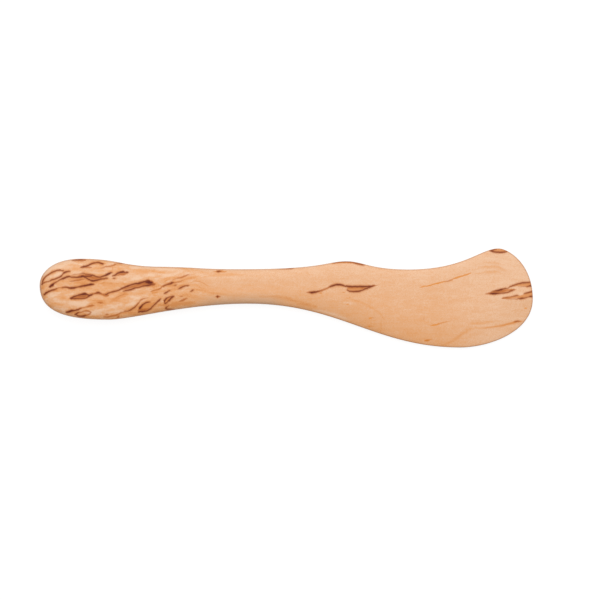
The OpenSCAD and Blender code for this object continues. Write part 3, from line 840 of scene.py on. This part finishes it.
# The light brown inside the marks, and the faintest of the streaks
fill_strokes = {
    "inside the blade mark": [
        (22.4, 3.4, 0.3), (24.5, 3.35, 0.6), (26.5, 3.5, 0.5), (28.8, 3.8, 0.2)],
    "under the brown of the thumb rest": [
        (16.6, 12.6, -0.1), (18.5, 12.9, 0.15), (21.0, 13.05, 0.25), (23.5, 12.95, 0.25),
        (25.5, 12.5, 0.1), (27.0, 12.1, -0.1)],
    "inside the lens over the corner": [
        (74.8, 17.3, 0.1), (77.0, 17.45, 0.4), (79.0, 17.35, 0.35), (80.4, 17.0, 0.1)],
    "end of the first end mark": [
        (79.0, 2.5, 0.3), (80.5, 2.8, 0.3), (82.0, 3.0, 0.2), (84.0, 3.1, -0.1)],
    "inside the mark over the edge": [
        (82.4, 4.3, -0.1), (85.0, 4.7, 0.2), (88.0, 4.9, 0.4), (90.5, 5.1, 0.4), (97.0, 5.2, 0.2)],
    "inside the second end mark": [
        (79.0, -0.1, 0.1), (80.5, 0.0, 0.2), (82.5, 0.2, 0.15), (84.0, 0.3, 0.2), (85.5, 0.5, 0.35),
        (87.5, 1.0, 0.55), (90.5, 1.6, 0.75), (97.0, 2.3, 0.8)],
    "streak by the belly": [
        (70.8, -11.0, -0.15), (72.5, -11.0, 0.0), (74.5, -10.7, 0.0), (76.5, -10.4, 0.05),
        (78.5, -10.1, 0.1), (80.5, -9.6, 0.2), (82.5, -9.1, 0.25), (84.2, -8.6, 0.25),
        (86.0, -8.5, 0.0)],
    "edge of the warm wood": [
        (-34.8, 5.7, -0.1), (-33.8, 6.15, 0.02), (-32.2, 6.05, 0.0), (-30.8, 5.6, 0.02),
        (-29.5, 4.9, 0.0), (-27.8, 4.2, -0.1), (-25.0, 3.7, -0.15), (-22.0, 3.4, -0.25)],
    "down from the pale patch": [(-63.2, 11.5, 0.0), (-63.3, 10.6, 0.0), (-63.6, 9.6, -0.1)],
    "warm line, its start": [
        (-49.5, 2.2, 0.0), (-48.4, 2.6, 0.2), (-47.2, 2.9, 0.2), (-46.0, 3.5, 0.1)],
    "warm line, under it": [(-49.0, 1.9, 0.05), (-48.0, 1.9, 0.12), (-47.0, 2.1, 0.12)],
    "speck under the wave's tail": [(-67.6, 5.1, -0.1), (-66.5, 5.6, 0.15), (-65.5, 6.1, -0.1)],
    "warm line, over its start": [(-44.6, 5.9, -0.1), (-43.8, 6.3, 0.1), (-42.9, 6.8, -0.1)],
    "inside the ear": [(-44.2, -1.4, 0.2), (-43.4, -0.8, 0.4), (-42.4, 0.0, 0.2)],
    "inside the hook": [
        (-53.6, -4.3, 0.3), (-52.2, -3.8, 0.8), (-50.6, -3.0, 0.8), (-49.2, -2.3, 0.4),
        (-47.8, -1.5, 0.0)],
    "pin knot by the back, warm tail": [
        (-27.0, 9.6, -0.05), (-25.2, 9.65, 0.2), (-23.6, 9.65, 0.28), (-22.0, 9.6, 0.05)],
    "warm mark in the belly, faint tail": [
        (55.2, -9.6, 0.15), (57.0, -9.05, 0.12), (59.0, -8.6, 0.0), (61.0, -8.2, -0.15)],
    "speck under the blade mark": [(20.3, 1.95, -0.1), (20.8, 2.0, 0.1), (21.3, 2.0, -0.1)],
    "speck under its tip": [(11.8, 1.8, -0.1), (12.5, 1.8, 0.2), (13.2, 1.8, -0.1)],
    "speck below the blade mark": [(22.6, 0.2, -0.2), (23.0, 0.2, 0.05), (23.5, 0.2, -0.2)],
}
# Fine orange lines and dots in the blade
orange_strokes = {
    "warm line across the blade": [
        (48.7, 3.8, -0.05), (49.6, 4.1, 0.07), (51.0, 4.3, 0.05), (52.3, 4.6, 0.12),
        (53.5, 5.0, 0.08), (55.0, 5.35, 0.13), (57.0, 5.8, 0.06), (58.5, 6.1, -0.12),
        (59.8, 6.4, -0.12), (61.0, 7.0, 0.0), (62.0, 7.4, 0.12), (63.5, 7.8, 0.12),
        (65.0, 8.3, 0.1), (66.3, 8.7, 0.12), (67.4, 9.1, -0.03)],
    "warm mark in the belly": [
        (52.5, -10.1, -0.05), (53.5, -9.95, 0.13), (54.6, -9.8, 0.13), (55.6, -9.4, -0.05)],
    "warm mark on the edge": [
        (50.3, -15.5, 0.0), (51.2, -15.5, 0.2), (52.0, -15.35, 0.07), (52.8, -15.1, -0.1)],
    "warm dot by the end": [(87.0, -3.8, -0.05), (87.5, -3.8, 0.13), (87.9, -3.8, -0.05)],
    "warm dot in the blade": [(30.1, -7.4, 0.0), (30.5, -7.35, 0.15), (31.2, -7.25, -0.02)],
    "warm dot near the edge": [(29.9, -10.4, -0.05), (30.1, -10.4, 0.1), (30.4, -10.4, -0.05)],
    "warm dot under the blade mark": [(21.9, -2.3, -0.05), (22.3, -2.3, 0.07), (22.7, -2.3, -0.05)],
}
# Soft patches among the figure, where the wood is warmer or paler over a millimetre or more. The pale
# patch round the butt is a painted highlight on its upper shoulder.
warm_patches = {
    "after the streak in the swell": [
        (-72.5, -2.6, -0.2), (-70.0, -1.8, 0.2), (-67.5, -1.6, 0.35), (-65.8, -1.8, -0.1)],
    "under the club": [
        (-63.4, -0.8, -0.1), (-61.6, 0.2, 0.7), (-60.0, 1.0, 0.9), (-58.2, 1.7, 0.2)],
    "along the shaft": [
        (-35.0, 3.4, -0.4), (-31.0, 2.8, 0.0), (-27.5, 2.0, 0.0), (-23.0, 1.2, -0.05),
        (-18.0, 0.6, -0.2), (-12.0, 0.0, -0.4)],
    "curve in the blade": [
        (22.0, 0.2, -0.3), (25.0, -1.0, 0.0), (30.0, -3.0, 0.1), (34.0, -5.5, 0.0),
        (36.0, -8.0, -0.3)],
    "below that curve": [(34.6, -8.2, -0.4), (34.5, -10.5, -0.05), (34.3, -12.6, -0.3)],
    "round the dot near the edge": [(28.4, -10.4, -0.2), (30.2, -10.3, 0.3), (31.8, -10.5, -0.2)],
    "climbing from the belly": [
        (57.0, -17.4, -0.2), (60.0, -16.0, 0.1), (63.0, -14.0, 0.4), (65.5, -12.2, 0.5),
        (67.8, -11.1, -0.1)],
    "over the streak by the belly": [
        (66.5, -9.6, -0.2), (70.0, -9.2, 0.1), (74.0, -8.8, 0.1), (78.0, -8.3, -0.2)],
    "along the streak by the belly": [
        (68.0, -11.2, -0.2), (73.0, -10.9, 0.2), (79.0, -10.0, 0.3), (84.0, -8.8, 0.2),
        (86.5, -8.5, -0.2)],
    "below the corner": [
        (67.0, 10.6, -0.4), (71.0, 11.2, -0.1), (75.0, 11.4, 0.5), (78.0, 10.9, 0.45),
        (81.0, 9.9, -0.4)],
    "below the corner, over it": [
        (70.5, 12.6, -0.4), (74.0, 12.9, 0.0), (77.0, 12.6, 0.1), (79.5, 12.0, -0.4)],
    "below the corner, under it": [
        (68.5, 8.9, -0.4), (72.5, 9.4, 0.1), (76.0, 9.6, 0.3), (79.5, 8.9, -0.4)],
    "round the wave": [
        (-81.0, 6.2, 0.0), (-77.0, 7.2, 0.7), (-72.0, 7.4, 1.0), (-68.0, 6.6, 0.6),
        (-64.5, 6.8, 0.0)],
    "round the mark over the club": [
        (-69.5, 9.6, -0.3), (-65.5, 9.7, 0.0), (-62.5, 9.3, 0.2), (-59.8, 8.8, 0.2),
        (-57.2, 8.4, -0.3)],
    "under the wave, to the line": [
        (-79.5, 5.3, -0.2), (-75.5, 5.6, 0.5), (-71.0, 5.8, 0.7), (-67.0, 5.4, 0.5),
        (-63.5, 5.4, -0.2)],
    "round the short marks": [
        (-42.0, 3.4, -0.2), (-38.5, 4.5, 0.3), (-35.0, 5.0, 0.4), (-32.0, 4.2, 0.1),
        (-29.5, 3.4, -0.3)],
    "round the club's head": [
        (-53.4, 5.2, 0.1), (-50.4, 5.4, 1.0), (-48.0, 5.1, 0.9), (-46.0, 4.6, -0.1)],
    "round the warm lines": [
        (-41.5, 5.6, 0.1), (-38.5, 6.2, 0.4), (-35.0, 7.2, 0.4), (-31.5, 8.0, -0.2)],
    "along the back of the shaft": [
        (-30.0, 7.8, -0.2), (-25.0, 8.4, 0.2), (-20.0, 8.6, 0.4), (-15.5, 8.4, -0.2)],
    "low in the shaft, under the ear": [
        (-49.0, -3.4, -0.1), (-44.5, -2.4, 0.4), (-40.0, -2.0, 0.6), (-36.0, -1.8, 0.4),
        (-33.0, -1.4, -0.2)],
    "low in the shaft, toward the blade": [
        (-10.0, 0.6, -0.3), (-5.0, 0.6, 0.2), (-1.0, 0.1, 0.5), (3.0, -1.2, 0.4), (7.0, -2.2, 0.5),
        (11.0, -3.2, 0.0)],
}
pale_patches = {
    # Painted highlight on the butt's upper shoulder
    "round the butt": [
        (-88.4, 8.3, 0.5), (-86.6, 10.4, 1.2), (-83.5, 11.9, 1.3), (-80.0, 12.7, 0.6),
        (-76.5, 12.6, 0.0), (-74.5, 12.4, -0.3)],
    "in the loop": [(-84.2, 8.1, 0.1), (-82.6, 8.6, 1.0), (-81.4, 9.0, 0.0)],
    "below the pocket": [
        (-84.6, -0.6, 0.2), (-80.5, -1.8, 0.8), (-77.0, -2.0, 1.1), (-73.5, -1.9, 0.9),
        (-71.6, -1.6, 0.1)],
    "under the line from the butt": [
        (-87.6, -0.4, 0.1), (-85.0, 0.9, 0.5), (-82.0, 2.2, 0.4), (-79.6, 2.6, -0.1)],
    "over the club": [(-59.0, 5.9, 0.0), (-56.0, 6.6, 0.2), (-52.6, 7.5, 0.2), (-48.6, 8.6, 0.0)],
    "at the back above the club": [
        (-57.0, 11.2, -0.1), (-53.0, 11.0, 0.3), (-49.0, 10.9, 0.2), (-44.0, 10.5, 0.3),
        (-39.5, 10.1, 0.1), (-36.5, 9.9, -0.3)],
    "over the warm lines": [
        (-47.8, 7.0, -0.2), (-44.5, 7.8, 0.3), (-41.5, 8.4, 0.2), (-39.3, 8.9, -0.3)],
    "under the knot": [(-70.0, 0.3, -0.2), (-67.2, -0.1, 0.1), (-64.6, -0.5, -0.2)],
    "under the club's end": [
        (-58.5, -0.6, 0.2), (-56.0, -0.4, 0.9), (-53.6, 0.5, 0.5), (-51.0, 1.5, 0.5),
        (-49.6, 2.0, -0.1)],
    "low in the swell": [
        (-68.0, -4.6, 0.3), (-65.0, -3.4, 1.0), (-62.0, -2.6, 0.8), (-59.5, -2.2, 0.1)],
    "at the back of the swell": [(-66.5, 12.1, 0.0), (-65.0, 12.3, 0.5), (-63.3, 12.4, 0.1)],
    "over the under edge": [
        (-73.0, -5.3, 0.1), (-69.0, -5.6, 0.8), (-65.0, -5.4, 0.6), (-60.5, -5.0, 0.2),
        (-57.0, -4.6, -0.2)],
    "beside the fine line": [(-58.5, -2.9, 0.1), (-56.2, -2.0, 0.65), (-54.6, -0.8, 0.3)],
    "in the belly of the swell": [(-84.6, -3.6, 0.0), (-81.6, -4.6, 0.5), (-80.2, -5.6, 0.2)],
    "in the blade, toward the belly": [
        (9.5, -4.1, -0.2), (13.0, -4.9, 0.3), (17.0, -6.0, 0.4), (20.5, -7.2, 0.2),
        (23.5, -8.0, -0.2)],
    "in the blade": [(21.0, -1.6, -0.2), (23.0, -1.8, 0.2), (25.0, -2.2, -0.2)],
}
dark_off = nearest(dark_strokes)
stain_off = nearest(stain_strokes)
orange_off = nearest(orange_strokes)
fill_off = nearest(fill_strokes)

# Slow changes of tone: paler along the back, a painted sheen for the gloss on the side that faces the
# lamp, and paler toward the blade's end, and warmer in the handle among the flecks
toward_back = add(tree, "ShaderNodeAttribute", attribute_name="toward_back")
blade_end = add(tree, "ShaderNodeMapRange", {
    "Value": split.outputs["X"], "From Min": BLADE_TO_END[0], "From Max": BLADE_TO_END[1]},
    interpolation_type="SMOOTHSTEP")
tone = add(tree, "ShaderNodeMath", {0: blade_end, 1: END_PALER, 2: MIDDLE_TONE},
           operation="MULTIPLY_ADD")
past_handle = add(tree, "ShaderNodeMapRange", {
    "Value": split.outputs["X"], "From Min": HANDLE_TO_SHAFT[0], "From Max": HANDLE_TO_SHAFT[1]},
    interpolation_type="SMOOTHSTEP")
painted_back_sheen = add(tree, "ShaderNodeMapRange", {
    "Value": past_handle, "To Min": HANDLE_BACK_SHEEN, "To Max": BACK_SHEEN})
painted_back_sheen = add(tree, "ShaderNodeMapRange", {
    "Value": blade_end, "To Min": painted_back_sheen, "To Max": END_BACK_SHEEN})
tone = add(tree, "ShaderNodeMath", {0: toward_back.outputs["Fac"], 1: painted_back_sheen, 2: tone},
           operation="MULTIPLY_ADD")
handle_tone = add(tree, "ShaderNodeMath", {0: past_handle, 1: HANDLE_WARMER, 2: -HANDLE_WARMER},
                  operation="MULTIPLY_ADD")
tone = add(tree, "ShaderNodeMath", {0: tone, 1: handle_tone}, operation="ADD")
# Cloudy patches about 5 mm along the grain and 1.6 mm across, where the fibres curl. The grain
# climbs a little toward the blade. They are strong in the handle, and faint past it.
lean = add(tree, "ShaderNodeMapping", {
    "Vector": slipped, "Rotation": (0.0, 0.0, -GRAIN_LEAN), "Scale": [1 / size for size in CLOUD]})
cloud = add(tree, "ShaderNodeTexNoise", {
    "Vector": lean, "Scale": 1.0, "Detail": 4.0, "Roughness": 0.6})
cloud_share = add(tree, "ShaderNodeMapRange", {
    "Value": cloud, "From Min": NOISE[0], "From Max": NOISE[1], "To Min": -1.0, "To Max": 1.0})
cloud_depth = add(tree, "ShaderNodeMapRange", {
    "Value": past_handle, "To Min": CLOUD_IN_HANDLE, "To Max": CLOUD_IN_BLADE})
tone = add(tree, "ShaderNodeMath", {0: cloud_share, 1: cloud_depth, 2: tone},
           operation="MULTIPLY_ADD")
# Fibres: streaks along the knife, 10 mm long and half a millimetre across. Real fibres are far
# finer, and are drawn as coarse as they need to show.
fibres = add(tree, "ShaderNodeMapping", {
    "Vector": slipped, "Scale": [1 / size for size in FIBRE]})
fibre = add(tree, "ShaderNodeTexNoise", {"Vector": fibres, "Scale": 1.0, "Detail": 2.0})
fibre_share = add(tree, "ShaderNodeMapRange", {
    "Value": fibre, "From Min": NOISE[0], "From Max": NOISE[1],
    "To Min": -FIBRE_TONE, "To Max": FIBRE_TONE})
tone = add(tree, "ShaderNodeMath", {0: tone, 1: fibre_share}, operation="ADD")
# Pores: birch has very fine ones, drawn this coarse so that they show
pores = add(tree, "ShaderNodeTexNoise", {"Vector": slipped, "Scale": 1 / PORE, "Detail": 1.0})
pore_share = add(tree, "ShaderNodeMapRange", {
    "Value": pores, "From Min": NOISE[0], "From Max": NOISE[1],
    "To Min": -PORE_TONE, "To Max": PORE_TONE})
tone = add(tree, "ShaderNodeMath", {0: tone, 1: pore_share}, operation="ADD")

for patches, patch_tone in ((warm_patches, WARM_PATCH_TONE), (pale_patches, PALE_PATCH_TONE)):
    patch = add(tree, "ShaderNodeMapRange", {
        "Value": nearest(patches), "From Min": PATCH_FROM_TO[0], "From Max": PATCH_FROM_TO[1],
        "To Max": patch_tone}, interpolation_type="SMOOTHSTEP")
    tone = add(tree, "ShaderNodeMath", {0: tone, 1: patch}, operation="ADD")

tones = add(tree, "ShaderNodeValToRGB", {0: tone})
stops = tones.color_ramp.elements
stops[0].position = 0.0
stops[0].color = linear(BIRCH_ORANGE)
stops[1].position = 1.0
stops[1].color = linear(BIRCH_PALE)
stops.new(0.35).color = linear(BIRCH_WARM)
stops.new(0.65).color = linear(BIRCH)

# On the belly side of the shaft a grey sheen is painted into the colour: a painted reflection of the
# white surround on the lower rounding
painted_grey_sheen = add(tree, "ShaderNodeMapRange", {
    "Value": toward_back.outputs["Fac"], "From Min": SHEEN_FROM_TO[0], "From Max": SHEEN_FROM_TO[1],
    "To Max": GRIP_SHEEN}, interpolation_type="SMOOTHSTEP")
from_grip = add(tree, "ShaderNodeMath", {0: split.outputs["X"], 1: GRIP_MIDDLE},
                operation="SUBTRACT")
from_grip = add(tree, "ShaderNodeMath", {0: from_grip}, operation="ABSOLUTE")
grip = add(tree, "ShaderNodeMapRange", {
    "Value": from_grip, "From Min": GRIP_FADES[0], "From Max": GRIP_FADES[1],
    "To Min": 1.0, "To Max": 0.0}, interpolation_type="SMOOTHSTEP")
painted_grey_sheen = add(tree, "ShaderNodeMath", {0: painted_grey_sheen, 1: grip}, operation="MULTIPLY")
plain = add(tree, "ShaderNodeMix", {0: painted_grey_sheen, 6: tones.outputs[0], 7: linear(SHEEN_GREY)},
            data_type="RGBA")
# The belly side, which faces away from the lamp, is painted a little browner as painted shade on
# either side of that, from the swell to the blade's end
belly_shade_share = add(tree, "ShaderNodeMapRange", {
    "Value": toward_back.outputs["Fac"],
    "From Min": PAINTED_SHADE_FROM_TO[0], "From Max": PAINTED_SHADE_FROM_TO[1],
    "To Max": PAINTED_BELLY_SHADE}, interpolation_type="SMOOTHSTEP")
in_neck = add(tree, "ShaderNodeMapRange", {
    "Value": split.outputs["X"], "From Min": SWELL_TO_NECK[0], "From Max": SWELL_TO_NECK[1]})
beside_grip = add(tree, "ShaderNodeMath", {0: in_neck, 1: grip}, operation="SUBTRACT")
belly_shade_share = add(tree, "ShaderNodeMath", {0: belly_shade_share, 1: beside_grip}, operation="MULTIPLY",
              use_clamp=True)
plain = add(tree, "ShaderNodeMix", {0: belly_shade_share, 6: plain.outputs[2], 7: linear(PAINTED_SHADE_BROWN)},
            data_type="RGBA")

# The marks are laid over the plain wood one colour after another. Each comes in from nothing, at
# the first distance off its strokes, to its full share at the second.
layers = [
    (fill_off, 0.3, -0.05, 0.8, FILL),
    (stain_off, 0.5, -0.1, 0.85, STAIN),
    (stain_off, -0.1, -0.5, 0.75, STAIN_DEEP),
    (orange_off, 0.36, -0.1, 0.9, STREAK),
    (dark_off, 0.8, 0.0, 0.65, HALO),
    (dark_off, 0.32, -0.12, 1.0, FLECK_BROWN),
    (dark_off, 0.02, -0.32, 1.0, FLECK_DARK),
]
marked = plain
for off, begins, full, most, colour in layers:
    share = add(tree, "ShaderNodeMapRange", {
        "Value": off, "From Min": begins, "From Max": full, "To Max": most},
        interpolation_type="SMOOTHSTEP")
    marked = add(tree, "ShaderNodeMix", {0: share, 6: marked.outputs[2], 7: linear(colour)},
                 data_type="RGBA")
dark_share = share

# End grain drinks the oil and stays darker: the rounded butt and the blade's curved end
end_on = add(tree, "ShaderNodeVectorMath", {0: coordinate.outputs["Normal"], 1: (1.0, 0.0, 0.0)},
             operation="DOT_PRODUCT")
end_on = add(tree, "ShaderNodeMath", {0: end_on.outputs["Value"]}, operation="ABSOLUTE")
end_share = add(tree, "ShaderNodeMapRange", {
    "Value": end_on, "From Min": END_GRAIN_FROM_TO[0], "From Max": END_GRAIN_FROM_TO[1],
    "To Max": END_GRAIN_SHARE}, interpolation_type="SMOOTHSTEP")
marked = add(tree, "ShaderNodeMix", {0: end_share, 6: marked.outputs[2], 7: linear(END_GRAIN)},
             data_type="RGBA")

# A narrow brown line is painted along the rounded-over edge: painted shade where the edge turns away
# from the light
from_edge = add(tree, "ShaderNodeAttribute", attribute_name="from_edge")
edge_shade_depth = add(tree, "ShaderNodeMapRange", {
    "Value": blade_end, "To Min": EDGE_SHADE, "To Max": END_EDGE_SHADE})
painted_edge_shade = add(tree, "ShaderNodeMapRange", {
    "Value": from_edge.outputs["Fac"],
    "From Min": EDGE_SHADE_FROM_TO[0], "From Max": EDGE_SHADE_FROM_TO[1],
    "To Max": edge_shade_depth}, interpolation_type="SMOOTHSTEP")
marked = add(tree, "ShaderNodeMix", {0: painted_edge_shade, 6: marked.outputs[2], 7: linear(EDGE_SHADE_BROWN)},
             data_type="RGBA")

# Satin oil: the gloss breaks a little with the fibres and is duller over the flecks
dullness = add(tree, "ShaderNodeMapRange", {
    "Value": fibre, "To Min": ROUGH_MOST_OILED, "To Max": ROUGH_LEAST_OILED})
dull_fleck = add(tree, "ShaderNodeMath", {0: dark_share, 1: ROUGHER_FLECK, 2: dullness},
                 operation="MULTIPLY_ADD")
grain_bump = add(tree, "ShaderNodeBump", {
    "Height": fibre, "Strength": FIBRE_BUMP, "Distance": FIBRE_RISE})
wood = add(tree, "ShaderNodeBsdfPrincipled", {
    "Base Color": marked.outputs[2], "Roughness": dull_fleck, "Specular IOR Level": OIL_SPECULAR,
    "Normal": grain_bump, "IOR": OIL_IOR})
add(tree, "ShaderNodeOutputMaterial", {"Surface": wood})

# The tree runs once on the line of stations and leaves a plain mesh, which is held inside
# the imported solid's box
carver = bpy.data.objects.new("butter_knife_carving", line)
bpy.context.scene.collection.objects.link(carver)
carve = carver.modifiers.new("carve", "NODES")
carve.node_group = carving
for name, value in sizes.items():
    carve[sockets[name].identifier] = float(value)
carve[sockets["Steps up a side"].identifier] = STEPS_UP_SIDE
carve[sockets["Wood"].identifier] = birch
depsgraph = bpy.context.evaluated_depsgraph_get()
knife_mesh = bpy.data.meshes.new_from_object(carver.evaluated_get(depsgraph))
carver.modifiers.remove(carve)
bpy.data.objects.remove(carver)
knife_mesh.name = "carved_knife"
knife_mesh.materials.clear()
knife_mesh.materials.append(birch)
skin = np.zeros(len(knife_mesh.vertices) * 3, np.float32)
knife_mesh.vertices.foreach_get("co", skin)
skin = np.clip(skin.reshape(-1, 3), list(knife_low), list(knife_high))
knife_mesh.vertices.foreach_set("co", skin.astype(np.float32).ravel())
knife_mesh.update()
knife = bpy.data.objects.new("carved_knife", knife_mesh)
bpy.context.scene.collection.objects.link(knife)
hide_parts("butter_knife")
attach(knife, "root")
